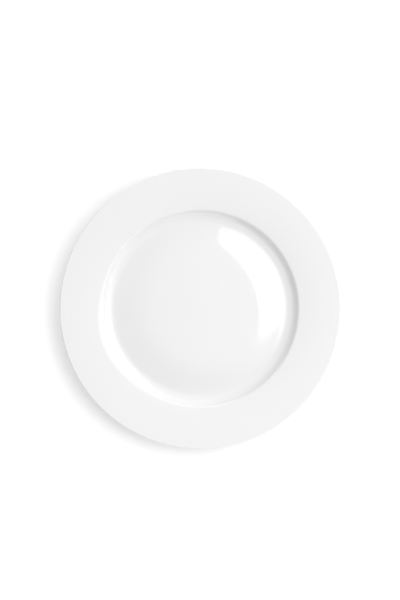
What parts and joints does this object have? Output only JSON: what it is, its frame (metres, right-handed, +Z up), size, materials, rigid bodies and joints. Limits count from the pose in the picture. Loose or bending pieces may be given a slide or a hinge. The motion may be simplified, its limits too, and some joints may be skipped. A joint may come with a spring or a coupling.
{
  "type": "dinner plate",
  "caption": "Round porcelain dinner plate with a broad sloping rim, a shallow well with a gently domed floor, and a bare foot ring.",
  "frame": {"origin": "on the table, under the middle of the plate", "axes": "+Z up along the plate's axis; +X and +Y are any two directions across the round plate, +Y being up in the picture"},
  "size_m": [0.27, 0.27, 0.02],
  "materials": {
    "bare_porcelain": "matte",
    "glaze": "gloss"
  },
  "bodies": {
    "root": {"porcelain_body": "bare_porcelain", "outer_glaze": "glaze", "base_glaze": "glaze"}
  },
  "joints": []
}
